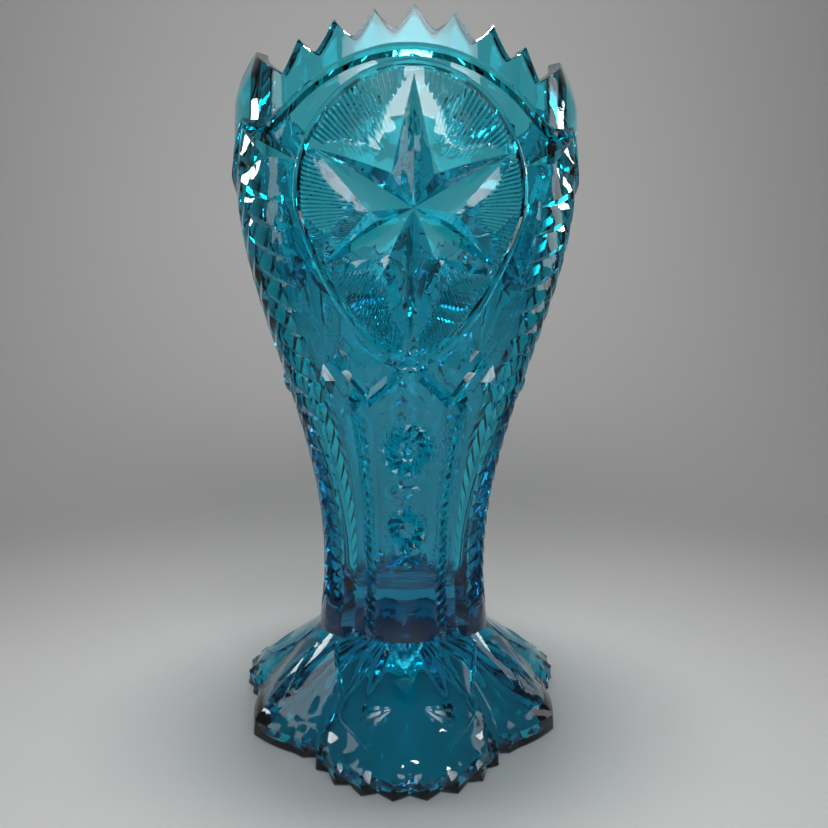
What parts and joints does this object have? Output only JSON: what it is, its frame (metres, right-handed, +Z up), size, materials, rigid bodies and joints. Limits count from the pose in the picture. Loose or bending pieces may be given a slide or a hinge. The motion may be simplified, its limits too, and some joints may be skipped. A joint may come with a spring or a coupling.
{
  "type": "cut crystal vase",
  "caption": "Tall three-sided pressed glass vase imitating cut crystal, with a toothed rim, pointed corners, a narrow waist and a lobed, toothed foot.",
  "frame": {"origin": "on the vase's axis, on the surface that it stands on", "axes": "+Z up along the vase's axis; -Y out of the middle of one of the three faces; +X to the right of that face as seen from in front of it"},
  "size_m": [0.1394, 0.145, 0.254],
  "materials": {
    "teal_glass": "fire-polished transparent teal glass, deeper in colour where it is thicker"
  },
  "bodies": {
    "root": {"vase": "teal_glass"}
  },
  "joints": []
}
